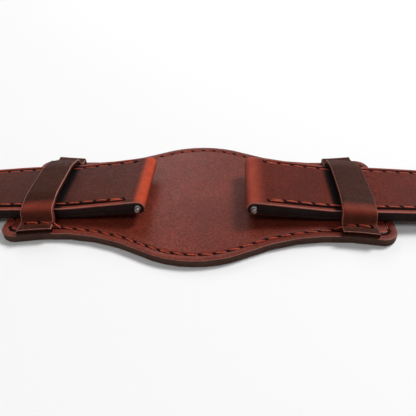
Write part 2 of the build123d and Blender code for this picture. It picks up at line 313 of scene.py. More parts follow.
def combine(tree, operation, first, second):
    """Result of a math node on two sockets."""
    return add_node(tree, "Math", {0: first, 1: second}, operation=operation).outputs["Value"]


def mark(tree, name):
    """A mark on the mesh's points."""
    return add_node(tree, "Attribute", {}, attribute_name=name).outputs["Fac"]


def mix_colour(tree, share, first, second):
    """Blend of two colours, each a colour value or a socket."""
    node = add_node(tree, "Mix", {}, data_type="RGBA")
    places = {socket.name: n for n, socket in enumerate(node.inputs) if socket.enabled}
    plug(tree, node, {places["Factor"]: share, places["A"]: first, places["B"]: second})
    return [socket for socket in node.outputs if socket.enabled][0]


def bump(tree, height, strength, distance, **below):
    """Bump from a height over a distance in millimetres."""
    inputs = {"Height": height, "Strength": strength, "Distance": distance * mm, **below}
    return add_node(tree, "Bump", inputs).outputs["Normal"]


def leather_colour(tree, base, deep, pulled):
    """Cloudy tone with dark pores, paler where pulled, which is partly a painted highlight, and
    near-black under the painted shadow beside the loops.
    """
    colour = mix_colour(tree, remap(tree, noise(tree, 60, 3), 0.35, 0.68), base, deep)
    speck = remap(tree, noise(tree, 2300, 4, 0.75), 0.4, 0.64)
    colour = mix_colour(tree, speck, colour, darker(deep, 0.5))
    streak = remap(tree, noise(tree, 420, 4, 0.65), 0.3, 0.75, 1.0, 0.55)
    pull = combine(tree, "MULTIPLY", mark(tree, "bend"), streak)
    colour = mix_colour(tree, pull, colour, pulled)
    return mix_colour(tree, mark(tree, "painted_loop_shadow"), colour, *linear([painted_loop_shadow_tone]))


def leather_bump(tree, grain):
    """Creases between small cells, fine grain and a slow swell."""
    inputs = {"Scale": 2100, "Vector": object_place(tree)}
    cells = add_node(tree, "TexVoronoi", inputs, feature="DISTANCE_TO_EDGE").outputs["Distance"]
    normal = bump(tree, remap(tree, cells, 0.0, 0.12), 0.25 * grain, 0.04)
    normal = bump(tree, noise(tree, 4200, 3), 0.5 * grain, 0.05, Normal=normal)
    return bump(tree, noise(tree, 150, 2), 0.3 * grain, 0.3, Normal=normal)


def leather(name, tones, roughness, grain, gloss):
    """Waxed leather from its base, deep and pulled tones."""
    material, tree, shader = new_material(name)
    plug(tree, shader, {
        "Base Color": leather_colour(tree, *linear(tones)),
        "Roughness": remap(tree, noise(tree, 700, 4), 0.3, 0.7, roughness - 0.06, roughness + 0.1),
        "Specular IOR Level": gloss,
        "Normal": leather_bump(tree, grain),
    })
    return material


def two_tone(name, tones, patches, spread, roughness, gloss, relief=None):
    """Two tones mixed by noise, with a relief: its scale, detail and strength."""
    material, tree, shader = new_material(name)
    share = remap(tree, noise(tree, *patches), *spread)
    inputs = {"Base Color": mix_colour(tree, share, *linear(tones)), "Roughness": roughness}
    plug(tree, shader, {**inputs, "Specular IOR Level": gloss})
    if relief:
        scale, detail, strength = relief
        plug(tree, shader, {"Normal": bump(tree, noise(tree, scale, detail), strength, 0.06)})
    return material


def steel_material(name, base, roughness):
    """Turned or polished steel with faint marks."""
    material, tree, shader = new_material(name)
    scratch = noise(tree, 2500, 4)
    plug(tree, shader, {
        "Metallic": 1.0,
        "Base Color": mix_colour(tree, scratch, base, darker(base, 0.8)),
        "Roughness": remap(tree, scratch, 0.3, 0.7, roughness - 0.05, roughness + 0.1),
        "Normal": bump(tree, scratch, 0.1, 0.02),
    })
    return material


# Near-black tone of the painted shadow on the strap beside each loop's inner edge
painted_loop_shadow_tone = (20, 15, 15)
pad_skin = leather("pad_leather", ((130, 54, 39), (106, 41, 29), (150, 58, 42)), 0.4, 0.7, 0.12)
# The tail half is painted lighter and redder than the buckle half, as light from the right falls on it;
# both are the same leather
buckle_tones = (93, 42, 32), (72, 33, 25), (188, 70, 42)
tail_lit_tones = (116, 43, 30), (91, 35, 25), (165, 70, 52)
buckle_skin = leather("buckle_half_leather", buckle_tones, 0.45, 0.7, 0.05)
tail_skin = leather("tail_half_leather_painted_lighter", tail_lit_tones, 0.45, 0.7, 0.04)
loop_skin = leather("loop_leather", ((79, 41, 30), (62, 33, 25), (144, 62, 48)), 0.5, 0.7, 0.03)
lining_skin = leather("lining_leather", ((120, 74, 50), (92, 54, 38), (140, 84, 56)), 0.6, 0.6, 0.4)

# Painted edges, slightly uneven along their length, and a pale line on rounded top edges, partly
# burnish and partly a painted highlight
paint = {"patches": (500, 5, 0.7), "spread": (0.4, 0.75), "roughness": 0.6, "relief": (1800, 4, 0.5)}
strap_edge = two_tone("strap_edge_paint", ((42, 31, 30), (27, 21, 21)), gloss=0.05, **paint)
pad_edge = two_tone("pad_edge_paint", ((80, 56, 48), (62, 43, 37)), gloss=0.05, **paint)
pale_edge = two_tone("pale_line_burnish_and_painted_highlight", ((158, 102, 92), (120, 62, 52)), gloss=0.25, **paint)

# Waxed thread, and the painted shade in needle holes and pressed grooves
thread_tones, dark_tones = ((196, 82, 56), (140, 50, 36)), ((14, 10, 10), (36, 18, 16))
thread = two_tone("thread", thread_tones, (900, 3), (0.35, 0.7), 0.55, 0.15, (6000, 3, 0.6))
painted_groove_and_hole_shade = two_tone("painted_groove_and_hole_shade_dark", dark_tones, (1500, 2), (0.0, 1.0), 0.85, 0.03)
steel = steel_material("steel", (0.5, 0.5, 0.5, 1.0), 0.28)
buckle_steel = steel_material("buckle_steel", (0.46, 0.455, 0.45, 1.0), 0.18)


# Meshes


def add_object(name, data):
    """A new object in the scene."""
    made = bpy.data.objects.new(name, data)
    bpy.context.scene.collection.objects.link(made)
    return made


def add_mesh(name, points, faces):
    """A new mesh object from points in millimetres."""
    mesh = bpy.data.meshes.new(name)
    mesh.from_pydata([Vector(point) * mm for point in points], [], faces)
    return add_object(name, mesh)


def make_piece(name, form, skin, body, replaces=(), marks=None):
    """A piece from a form, riding on its body.

    A form is points, faces and the faces' materials. The skin is the first material, which cut
    faces take, and marks are named values of the points.
    """
    points, faces, materials = form
    piece = add_mesh(name, points, faces)
    mesh, kinds = piece.data, list(dict.fromkeys([skin] + materials))
    for kind in kinds:
        mesh.materials.append(kind)
    mesh.polygons.foreach_set("material_index", [kinds.index(material) for material in materials])
    mesh.polygons.foreach_set("use_smooth", [True] * len(faces))
    for key, values in (marks or {}).items():
        mesh.attributes.new(key, "FLOAT", "POINT").data.foreach_set("value", values)
    mesh.update()
    clean_mesh(piece)
    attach(piece, body)
    if replaces:
        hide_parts(*replaces)
    return piece


def clean_mesh(piece):
    """Merges near points, turns faces outwards and keeps hard corners sharp."""
    shell = bmesh.new()
    shell.from_mesh(piece.data)
    bmesh.ops.remove_doubles(shell, verts=shell.verts, dist=merge_reach * mm)
    bmesh.ops.dissolve_degenerate(shell, edges=shell.edges, dist=flat_reach * mm)
    bmesh.ops.recalc_face_normals(shell, faces=shell.faces)
    shell.to_mesh(piece.data)
    shell.free()
    piece.data.set_sharp_from_angle(angle=crease_angle)


def cut(piece, outlines):
    """Cuts upright openings out of a piece, from their outlines in plan."""
    for outline in outlines:
        rings = [[(*spot, height) for spot in outline] for height in cutter_heights]
        tool = add_mesh("cutter", *loft(rings, None)[:2])
        clean_mesh(tool)
        modifier = piece.modifiers.new("cut", "BOOLEAN")
        modifier.operation, modifier.solver, modifier.object = "DIFFERENCE", "EXACT", tool
        with bpy.context.temp_override(object=piece, active_object=piece):
            bpy.ops.object.modifier_apply(modifier=modifier.name)
        bpy.data.objects.remove(tool)
    piece.data.set_sharp_from_angle(angle=crease_angle)


def loft(rings, skin, material_at=None, closed=False, pointed=False):
    """A form: a skin over rings of points, with a face at each open end.

    material_at gives the materials between rings, where they aren't all the skin's. A pointed
    form's last ring is folded shut.
    """
    count = len(rings[0])
    points = [point for ring in rings for point in ring]
    faces, materials = [], []
    for row in range(len(rings) if closed else len(rings) - 1):
        first, second = row * count, (row + 1) % len(rings) * count
        for column in range(count):
            following = (column + 1) % count
            faces.append((first + column, first + following, second + following, second + column))
            materials.append(material_at(row, column) if material_at else skin)
    if not closed:
        faces.append(tuple(range(count)))
    if not closed and not pointed:
        faces.append(tuple(range(len(points) - count, len(points))))
    return points, faces, materials + [skin] * (len(faces) - len(materials))


def joined(forms):
    """Several forms as one."""
    points, faces, materials = [], [], []
    for form_points, form_faces, form_materials in forms:
        base = len(points)
        points += form_points
        faces += [tuple(base + index for index in face) for face in form_faces]
        materials += form_materials
    return points, faces, materials


def bent(points, bends):
    """A flat line with its corners rounded: bends gives each corner's radius."""
    points = [Vector(point) for point in points]
    path = [points[0]]
    for before, corner, after, bend in zip(points, points[1:], points[2:], bends):
        back, ahead = before - corner, after - corner
        half = back.angle(ahead) / 2
        radius = min(bend, bend_room_share * min(back.length, ahead.length) * math.tan(half))
        run = radius / math.tan(half)
        back, ahead = back.normalized(), ahead.normalized()
        centre = corner + (back + ahead).normalized() * radius / math.sin(half)
        path += arc(centre, corner + back * run, corner + ahead * run)
    return path + [points[-1]]


def heading(spoke):
    """Direction of a flat vector, as an angle."""
    return math.atan2(spoke.y, spoke.x)


def circle(count, start=0.0):
    """Cosines and sines of even angles, from a start in steps."""
    angles = [math.tau * (n + start) / count for n in range(count)]
    return [(math.cos(angle), math.sin(angle)) for angle in angles]


def arc(centre, start, end, clockwise=False):
    """Points of an arc about a centre, the shorter way round or clockwise."""
    spoke = start - centre
    turn = heading(end - centre) - heading(spoke)
    turn = turn % math.tau - math.tau if clockwise else (turn + math.pi) % math.tau - math.pi
    steps = max(2, math.ceil(abs(turn) / arc_step))
    return [centre + Matrix.Rotation(turn * n / steps, 2) @ spoke for n in range(steps + 1)]


def spaced(points, step):
    """Points at even steps along a line of points."""
    lengths = [0.0]
    for first, second in zip(points, points[1:]):
        lengths.append(lengths[-1] + (second - first).length)
    count = max(2, round(lengths[-1] / step))
    result, index = [], 0
    for n in range(count + 1):
        place = lengths[-1] * n / count
        while index < len(points) - 2 and lengths[index + 1] < place:
            index += 1
        span = lengths[index + 1] - lengths[index]
        share = (place - lengths[index]) / span if span else 0.0
        result.append(points[index].lerp(points[index + 1], share))
    return result


def point_at(line, place):
    """Point at a place of a flat line that runs along X, or its nearer end."""
    for first, second in zip(line, line[1:]):
        if first.x <= place <= second.x:
            return first.lerp(second, (place - first.x) / (second.x - first.x))
    return line[0] if place < line[0].x else line[-1]


def trimmed(line, start, end):
    """The stretch of a line along X between two places."""
    return [point_at(line, start)] + [p for p in line if start < p.x < end] + [point_at(line, end)]


def side_normals(path):
    """Unit normals to the left of a flat open line."""
    normals = []
    for index in range(len(path)):
        before, after = path[max(0, index - 1)], path[min(len(path) - 1, index + 1)]
        normals.append((after - before).normalized().orthogonal())
    return normals


def band_profile(width, leather_depth, rim, middle, under_rim):
    """Places across a band and their depths: over its top, then back under."""
    inset, rise = under_rim
    over = rim + middle + [(width - place, depth) for place, depth in reversed(rim)]
    under = [(width, leather_depth - rise), (width - inset, leather_depth)]
    return over + under + [(inset, leather_depth), (0.0, leather_depth - rise)]


def smooth(value, low, high):
    """Rises smoothly from 0 at low to 1 at high."""
    share = min(1.0, max(0.0, (value - low) / (high - low)))
    return share * share * (3 - 2 * share)


def band(value, rise_start, rise_end, fall_start, fall_end):
    """1 inside a band of values, 0 outside, with smooth flanks."""
    return smooth(value, rise_start, rise_end) * (1 - smooth(value, fall_start, fall_end))


# Pad


def waist_centre():
    """Centre of the arc of the pad's right far waist."""
    reach_y = waist_half + waist_radius
    return math.sqrt((disc_radius + waist_radius) ** 2 - reach_y**2), reach_y


def pad_outline(step):
    """The pad's outline in even steps, closed and clockwise."""
    reach_x, reach_y = waist_centre()
    share = disc_radius / (disc_radius + waist_radius)
    shoulder = Vector((reach_x * share, reach_y * share))
    corner_x = pad_end - pad_corner
    corner_y = reach_y - math.sqrt((waist_radius + pad_corner) ** 2 - (corner_x - reach_x) ** 2)
    corner, waist = Vector((corner_x, corner_y)), Vector((reach_x, reach_y))
    touch = waist + (corner - waist).normalized() * waist_radius
    quarter = arc(Vector((0, 0)), Vector((0, disc_radius)), shoulder)
    quarter += arc(waist, shoulder, touch)
    quarter += arc(corner, touch, Vector((pad_end, corner_y)))
    half = quarter + [Vector((p.x, -p.y)) for p in reversed(quarter)]
    whole = half + [Vector((-p.x, p.y)) for p in reversed(half)]
    return spaced(whole, step)[:-1]


def inset_line(line, inset):
    """A closed clockwise line moved inwards."""
    moved = []
    for before, here, after in zip(line[-1:] + line[:-1], line, line[1:] + line[:1]):
        moved.append(here - (after - before).normalized().orthogonal() * inset)
    return moved


def pad_half_width(place):
    """Half the pad's width at a place near its waists."""
    reach_x, reach_y = waist_centre()
    return reach_y - math.sqrt(waist_radius**2 - (abs(place) - reach_x) ** 2)


def pad_layer(node, profile, skin, materials):
    """One leather of the pad, with a material for each step of its profile."""
    line = pad_outline(outline_step)
    rings = [[(p.x, p.y, height) for p in inset_line(line, inset)] for inset, height in profile]

    def material_at(row, column):
        across, along = abs(line[column].y), abs(line[column].x)
        under_foot = across > loop_ankle and loop_start < along < loop_end
        return pad_edge if under_foot and row in foot_paint_rows else materials[row]

    make_piece(f"{node}_skin", loft(rings, skin, material_at), skin, "pad", [node])


def build_pad():
    """Both leathers of the pad: painted sides, a pale line that is partly a painted highlight, and the
    seam's groove in painted shade.
    """
    top_paint = [pad_edge] * 4 + [pale_edge] + [pad_skin] * 4 + [painted_groove_and_hole_shade] * 2 + [pad_skin] * 2
    low_paint = [lining_skin] * 5 + [pad_edge] * 5
    pad_layer("pad_top_leather", top_rim + top_line + top_groove, pad_skin, top_paint)
    pad_layer("pad_lining", low_groove + low_rim, lining_skin, low_paint)


# Loops


def offset_line(points, distance):
    """An open line of straight runs moved sideways to its left."""
    points = [Vector(point) for point in points]
    moved = []
    for first, second in zip(points, points[1:]):
        step = (second - first).normalized().orthogonal() * distance
        moved.append((first + step, second + step))
    corners = [moved[0][0]]
    for (a, b), (c, d) in zip(moved, moved[1:]):
        along, other = b - a, d - c
        across = along.x * other.y - along.y * other.x
        share = ((c.x - a.x) * other.y - (c.y - a.y) * other.x) / across
        corners.append(a + along * share)
    return corners + [moved[-1][1]]


def loop_line(share):
    """Inner line of a loop's section, at a share of the way across its band."""
    sizes = loop_crowns, loop_shoulders, far_drops
    high, low, far_drop = [a + share * (b - a) for a, b in sizes]
    flat, top, side = loop_flat / 2, pad_top + high, pad_top + low
    line = [(-loop_ankle, pad_top), (lay_shift - loop_side, side), (lay_shift - flat, top)]
    line += [(lay_shift + flat, top), (lay_shift + loop_side - far_tuck, side - far_drop)]
    return line + [(loop_ankle, pad_top)]


def loop_section(place):
    """Outer line of a loop's section with its feet, at a place across its band."""
    foot_end = pad_half_width(loop_start + place)
    foot_top = pad_top + loop_leather + foot_swell
    outer = offset_line(loop_line(place / loop_width), loop_leather)
    for end, neighbour in ((0, 1), (-1, -2)):
        share = (foot_top - outer[neighbour].y) / (outer[end].y - outer[neighbour].y)
        outer[end] = outer[neighbour].lerp(outer[end], share)
    outer = [Vector((-foot_end, foot_top))] + outer + [Vector((foot_end, foot_top))]
    over = [shoulder_bend + loop_leather, crown_bend + loop_leather]
    line = bent(outer, [ankle_bend] + over + over[::-1] + [ankle_bend])
    length = sum((b - a).length for a, b in zip(line, line[1:]))
    path = spaced(line, length / loop_steps)
    rim = [Vector((foot_end - inset, foot_top - drop)) for inset, drop in foot_rim]
    return [Vector((-p.x, p.y)) for p in rim] + path[1:-1] + rim[::-1]


def loop_rings(side):
    """Rings along a loop from foot to foot, each round its band."""
    middle = [(loop_width * n / 6, -loop_puff) for n in range(2, 5)]
    lines = []
    for place, depth in band_profile(loop_width, loop_leather, loop_rim, middle, loop_under_rim):
        path = loop_section(place)
        moved = []
        for p, n in zip(path, side_normals(path)):
            swell = foot_swell * smooth(abs(p.x), loop_ankle, loop_ankle + foot_swell_run)
            inwards = depth + (swell if depth > foot_rim_depth else 0.0)
            moved.append((side * (loop_start + place), p.x - n.x * inwards, p.y - n.y * inwards))
        lines.append(moved)
    return list(zip(*lines))


def loop_pull_and_highlight(y):
    """How far a loop is pulled up at its near shoulder and foot, which is partly a painted highlight:
    the far side gets none.
    """
    front = loop_front_highlight_pull * band(-y, *loop_front_highlight_band)
    return min(1.0, front + loop_foot_highlight_pull * band(-y, *loop_foot_highlight_band))


def build_loop(side, node):
    """One loop over a waist of the pad, with pale edge lines that are partly a painted highlight, and
    painted foot ends.
    """
    rings = loop_rings(side)
    top_faces = 2 * len(loop_rim) + 2
    # Pale edge lines, partly a painted highlight; the left loop's is one face wider
    pale = (1, top_faces - 2 if side > 0 else top_faces - 3)

    def material_at(row, column):
        foot_line = column < top_faces and row in (1, len(rings) - 3)
        return pale_edge if column in pale or foot_line else loop_skin

    form = loft(rings, pad_edge, material_at)
    marks = {"bend": [loop_pull_and_highlight(y) for x, y, z in form[0]]}
    make_piece(f"{node}_skin", form, loop_skin, "pad", [node], marks)


# Strap halves

# A half ends in a tip if it is pointed, and pull says where its curl's pulled-up tone fades; that tone
# is partly a painted highlight
Half = namedtuple("Half", "prefix stations bars side skin pull pointed")
tail = Half("tail", tail_stations, [bar], 1, tail_skin, (3.6, -1.2), True)
buckle = Half("buckle", buckle_stations, [bar, buckle_bar], -1, buckle_skin, (1.5, -0.1), False)


def tangent_point(centre, radius, outside, face):
    """Where a line from outside touches a circle, above (1) or below (-1)."""
    reach = Vector(outside) - Vector(centre)
    turn = math.acos(radius / reach.length)
    angles = (heading(reach) - turn, heading(reach) + turn)
    touches = [Vector(centre) + radius * Vector((math.cos(a), math.sin(a))) for a in angles]
    return max(touches, key=lambda point: face * point.y)


def strap_line(half, face, inset):
    """A half's top (1) or underside (-1) in side view, moved in by an inset."""
    points = [(x, low + thick - inset if face > 0 else low + inset) for x, low, thick in half.stations]
    start = tangent_point(half.bars[0], curl_radius - inset, points[0], face)
    line = [start] + [Vector(point) for point in points]
    bends = [press_bend] + [floor_bend] * (len(line) - 3)
    if not half.pointed:
        bends.append(press_bend)
        line.append(tangent_point(half.bars[1], curl_radius - inset, points[-1], face))
    return bent(line, bends)


def top_path(half):
    """The top leather's outer line: from its turned-back end round the bar."""
    upper, lower = strap_line(half, 1, 0), strap_line(half, -1, 0)
    path = trimmed(lower, lower[0].x, half.bars[0][0] + turn_back)[::-1]
    path += arc(Vector(half.bars[0]), lower[0], upper[0], True)[1:-1] + upper
    if not half.pointed:
        path += arc(Vector(half.bars[1]), upper[-1], lower[-1], True)[1:-1]
        path += trimmed(lower, half.bars[1][0] - turn_back, lower[-1].x)[::-1]
    return path


def arc_centre(first, second, third):
    """Centre of the circle through three flat points."""
    ax, ay, bx, by, cx, cy = *first, *second, *third
    scale = 2 * (ax * (by - cy) + bx * (cy - ay) + cx * (ay - by))
    a, b, c = ax * ax + ay * ay, bx * bx + by * by, cx * cx + cy * cy
    x = (a * (by - cy) + b * (cy - ay) + c * (ay - by)) / scale
    y = (a * (cx - bx) + b * (ax - cx) + c * (bx - ax)) / scale
    return Vector((x, y))


def half_width_at(place):
    """Half the strap's width at a place short of the tip."""
    if place <= bar[0]:
        return lug_half
    if place >= bar[0] + taper_reach:
        return buckle_half
    ends = (bar[0], lug_half), (bar[0] + knee_reach, knee_half), (bar[0] + taper_reach, buckle_half)
    centre = arc_centre(*ends)
    radius = (Vector(ends[0]) - centre).length
    return centre.y + math.sqrt(radius**2 - (place - centre.x) ** 2)


def tip_edge():
    """The tip's edge in plan up to the middle of its nose, and its inward normals."""
    reach_squared = tip_length**2 + buckle_half**2 - 2 * tip_length * nose_radius
    radius = reach_squared / (2 * (buckle_half - nose_radius))
    centre = Vector((tip_base, buckle_half - radius))
    nose = Vector((tip - nose_radius, 0))
    turn = math.atan2(nose.x - centre.x, nose.y - centre.y)
    angles = [turn * n / tip_steps for n in range(tip_steps + 1)]
    side = [centre + radius * Vector((math.sin(a), math.cos(a))) for a in angles]
    tip_arc = arc(nose, side[-1], Vector((tip, 0)))[1:]
    inwards = [(centre - p).normalized() for p in side] + [(nose - p).normalized() for p in tip_arc]
    return side + tip_arc, inwards


def inward_room(edge, inward):
    """How far an edge point may move in before it meets the middle line."""
    return edge.y / -inward.y if edge.y > 0.001 and inward.y < 0 else nose_radius


def faces_up(normal):
    """Whether a normal of the side view is on the top."""
    return normal.y > 0.5


def station_rows(half):
    """Rows of the top leather: place and normal in side view, edge and inward normal in plan."""
    line = spaced(top_path(half), row_step)
    normals = side_normals(line)
    rows = []
    for point, normal in zip(line, normals):
        if half.pointed and point.x > tip_base and faces_up(normal):
            break
        rows.append((point, normal, Vector((point.x, half_width_at(point.x))), Vector((0, -1))))
    if half.pointed:
        top = [p for p, n in zip(line, normals) if faces_up(n)]
        for edge, inward in zip(*tip_edge()):
            height = [p for p in top if p.x <= edge.x][-1].y
            rows.append((Vector((edge.x, height)), Vector((0, 1)), edge, inward))
    return rows


def crown(offset):
    """How far the padded top stands up, at an offset from its edge."""
    return crown_lift * smooth(offset, groove_inset - 0.3, groove_inset + 0.6)


def padding(half, place):
    """How fully the top is padded: 0 in the folds and 1 between them."""
    full = smooth(place - bar[0], *padding_rise)
    if not half.pointed:
        full *= 1 - smooth(place, *padding_fall)
    return full


def grooved(half, row):
    """Whether the groove beside the seam runs through a row."""
    point, normal = row[:2]
    past_end = not half.pointed and point.x > buckle_bar[0] - groove_end
    return faces_up(normal) and point.x - bar[0] > groove_start and not past_end


def strap_ring(half, row):
    """One ring round the top leather: outer face from near to far, then inner face."""
    point, normal, edge, inward = row
    room = inward_room(edge, inward)
    lift = padding(half, point.x) if faces_up(normal) else 0.0
    groove = [(offset, depth if grooved(half, row) else 0.0) for offset, depth in strap_groove]

    def place(offset, depth, side):
        spot = edge + inward * min(offset, room)
        x = point.x + (spot.x - edge.x) - normal.x * depth
        return (half.side * x, side * max(0.0, spot.y) + lay_shift, point.y - normal.y * depth)

    profile = strap_rim + groove + strap_seam
    outer = [(offset, depth - lift * crown(offset)) for offset, depth in profile]
    near, far = [[place(*spot, side) for spot in outer] for side in (-1, 1)]
    low_near, low_far = [[place(o, top_leather, side) for o in (0.0, seam_inset)] for side in (-1, 1)]
    first, last = Vector(near[-1]), Vector(far[-1])
    high = middle_bow * lift * min(1.0, (last - first).length / buckle_half)
    up = Vector((half.side * normal.x, 0, normal.y))
    shares = [n / ring_middles for n in range(1, ring_middles)]
    middle = [tuple(first.lerp(last, s) + up * (4 * s * (1 - s) * high)) for s in shares]
    return near + middle + far[::-1] + low_far + low_near[::-1]


def strap_marks(half, rows, count):
    """The top leather's marks: pulled at folds and borders, with a painted highlight on the curl's
    upper faces, and a painted shadow beside the loop.
    """
    start, end = [bar[0] + reach for reach in half.pull]
    on_border = [0 <= min(n, count - 5 - n) <= 5 for n in range(count)]
    bends, painted_loop_shadows = [], []
    for row in rows:
        point, normal = row[:2]
        # The curl's pulled-up tone shows only on faces turned upwards: partly pull-up, partly a painted
        # highlight, with painted shade where the curl turns under
        curl = smooth(start - point.x, 0.0, start - end) * smooth(normal.y, -0.3, 0.5)
        if not half.pointed:
            curl = max(curl, buckle_fold_pull * smooth(point.x, *buckle_fold))
        rim = border_pull if grooved(half, row) else 0.0
        bends += [max(curl, rim if border else 0.0) for border in on_border]
        # Painted shadow: the strap's top goes near-black beside the loop, where the loop shades it
        painted_loop_shadows += [band(point.x, *painted_loop_shadow_band) if faces_up(normal) else 0.0] * count
    return {"bend": bends, "painted_loop_shadow": painted_loop_shadows}


def build_top_leather(half):
    """A half's top leather with its border, folded round each bar."""
    rows = station_rows(half)
    rings = [strap_ring(half, row) for row in rows]
    count = len(rings[0])

    def material_at(row, column):
        rank = min(column, count - 6 - column)
        if column in (count - 5, count - 1):
            return strap_edge
        # Pale line along the top edges: partly burnish, partly a painted highlight
        if rank in (1, 2):
            return pale_edge
        # Painted shade in the groove beside the seam
        return painted_groove_and_hole_shade if rank in (5, 6, 7) and grooved(half, rows[row]) else half.skin

    form = loft(rings, strap_edge, material_at, pointed=half.pointed)
    node, body = f"{half.prefix}_top_leather", f"{half.prefix}_half"
    marks = strap_marks(half, rows, count)
    piece = make_piece(f"{node}_skin", form, half.skin, body, [node], marks)
    cut(piece, openings(half))


def layer_ring(half, x, y, inward, high, deep):
    """One ring round an inner layer with rounded edges."""
    corner = min(0.12, (high - deep) / 3)
    shape = [(seam_inset, high), (0.03, high), (0.0, high - corner), (0.0, deep + 2 * corner)]
    shape += [(0.06, deep + 0.6 * corner), (0.22, deep), (seam_inset, deep)]
    room = inward_room(Vector((x, y)), inward)
    ring = []
    for side in (1, -1):
        for inset, z in shape[::side]:
            move = min(inset, room)
            across = side * max(0.0, y + inward.y * move)
            ring.append((half.side * (x + inward.x * move), across + lay_shift, z))
    return ring


def build_layer(half, name, lines, ends, skin, cuts):
    """A half's filler or lining, between two lines of its side view."""
    top, low = [trimmed(line, *ends) for line in lines]
    edge = [(p.x, half_width_at(p.x), Vector((0, -1))) for p in spaced(top, layer_step)]
    if half.pointed:
        edge = [spot for spot in edge if spot[0] < tip_base]
        edge += [(p.x, p.y, normal) for p, normal in zip(*tip_edge())]
    heights = [[point_at(line, spot[0]).y for line in (top, low)] for spot in edge]
    rings = [layer_ring(half, *spot, *pair) for spot, pair in zip(edge, heights)]
    count = len(rings[0])

    def material_at(row, column):
        return strap_edge if 1 <= min(column, count - 2 - column) <= 4 else skin

    node, body = f"{half.prefix}_{name}", f"{half.prefix}_half"
    form = loft(rings, skin, material_at, pointed=half.pointed)
    cut(make_piece(f"{node}_skin", form, skin, body, [node]), cuts)


def slot_outline(half):
    """Outline of the tongue's slot, rounded at its inner end."""
    start, far, reach = buckle_bar[0] - slot_length, buckle_bar[0] + slot_overrun, slot_width / 2
    angles = [math.pi * n / slot_sides for n in range(slot_sides + 1)]
    plan = [(start + reach - reach * math.sin(a), reach * math.cos(a)) for a in angles]
    return [(half.side * x, lay_shift + y) for x, y in plan + [(far, -reach), (far, reach)]]


def openings(half):
    """Outlines of a half's openings: the tail's holes or the slot."""
    if not half.pointed:
        return [slot_outline(half)]
    ring = [(hole_radius * c, lay_shift + hole_radius * s) for c, s in circle(hole_sides, 0.5)]
    return [[(place + x, y) for x, y in ring] for place in hole_places]


def build_half(half):
    """The three leathers of a half."""
    build_top_leather(half)
    upper = strap_line(half, 1, top_leather)
    middle = strap_line(half, -1, lining_leather)
    lower = strap_line(half, -1, 0)
    core_end = tip if half.pointed else buckle_bar[0] - core_inset
    lining_end = tip if half.pointed else buckle_bar[0] - turn_back
    core, lining = (bar[0] + core_start, core_end), (bar[0] + turn_back, lining_end)
    cuts = openings(half)
    build_layer(half, "filler", (upper, middle), core, strap_edge, cuts)
    build_layer(half, "lining", (middle, lower), lining, lining_skin, cuts if half.pointed else [])


# Keepers


def keeper_path(half_y, half_z):
    """Points round a keeper's section, and their outward normals."""
    flat_y, flat_z = half_y - keeper_corner, half_z - keeper_corner
    path = []
    for index, (sign_y, sign_z) in enumerate(((1, 1), (-1, 1), (-1, -1), (1, -1))):
        for n in range(keeper_steps + 1):
            angle = math.pi / 2 * (index + n / keeper_steps)
            cos, sin = math.cos(angle), math.sin(angle)
            y, z = sign_y * flat_y + keeper_corner * cos, sign_z * flat_z + keeper_corner * sin
            path.append((y, z, cos, sin))
    return path


def build_keeper(node, body):
    """A keeper: a leather ring with pale edge lines, partly burnish and partly a painted highlight."""
    low, high = box_of(node)
    width = high.x - low.x
    centre_y, centre_z = middle_of((low, high), 1), middle_of((low, high), 2)
    half_y, half_z = (high.y - low.y) / 2, (high.z - low.z) / 2
    middle = [(width / 2, -keeper_puff)]
    across = band_profile(width, keeper_leather, keeper_rim, middle, keeper_under_rim)
    rings = []
    for y, z, ny, nz in keeper_path(half_y, half_z):
        rings.append([(low.x + x, centre_y + y - ny * d, centre_z + z - nz * d) for x, d in across])

    def material_at(row, column):
        return pale_edge if min(column, 2 * len(keeper_rim) - 1 - column) in (0, 1) else loop_skin

    form = loft(rings, loop_skin, material_at, closed=True)
    bends = []
    for x, y, z in form[0]:
        pull = keeper_pull * smooth(abs(z - centre_z), half_z - 1.2, half_z)
        bends.append(pull * smooth(abs(y - centre_y), half_y - 1.6, half_y - 0.3))
    make_piece(f"{node}_skin", form, loop_skin, body, [node], {"bend": bends})


# Stitching

upwards, downwards = Vector((0, 0, 1)), Vector((0, 0, -1))


def thread_form(start, end, up, across, rise, seed):
    """One stitch, which rises out of its hole and dips into the next."""
    rings = []
    for step in range(thread_steps + 1):
        share = step / thread_steps
        arch = math.sin(math.pi * share) ** 0.6
        centre = start.lerp(end, share) + up * (rise * arch - thread_dip)
        girth = thread_radius * (0.72 + 0.28 * arch) * (1 + 0.06 * math.sin(share * 21 + seed))
        wide, high = across * girth * 1.1, up * girth * 0.85
        rings.append([centre + wide * c + high * s for c, s in circle(thread_sides)])
    return loft(rings, thread)


def needle_form(place, up, along, across, rim):
    """Painted shade of one slanted needle hole: a dark oval with a raised rim."""
    slit = along * math.cos(needle_lean) + across * math.sin(needle_lean)
    long, short = slit * needle_length, slit.cross(up) * needle_breadth
    ring = [place + (long * c + short * s) + up * rim for c, s in circle(needle_sides)]
    return loft([ring, [point - up * needle_depth for point in ring]], painted_groove_and_hole_shade)


def stitch_row(name, line, up, body, seed, lean, rim=needle_rise):
    """A row of stitches between the points of a line, with the painted shade of their holes."""
    dice = random.Random(seed)
    threads, needles = [], []
    for start, end in zip(line, line[1:]):
        along = (end - start).normalized()
        across = along.cross(up).normalized()
        skew = lean + dice.uniform(-0.05, 0.05)
        first = start + along * thread_inset - across * skew
        last = end - along * thread_inset + across * skew
        rise = thread_radius * dice.uniform(0.75, 1.0)
        threads.append(thread_form(first, last, up, across, rise, seed))
        needles.append(needle_form(start, up, along, across, rim))
    make_piece(name, joined(threads), thread, body)
    make_piece(f"{name}_holes", joined(needles), painted_groove_and_hole_shade, body)


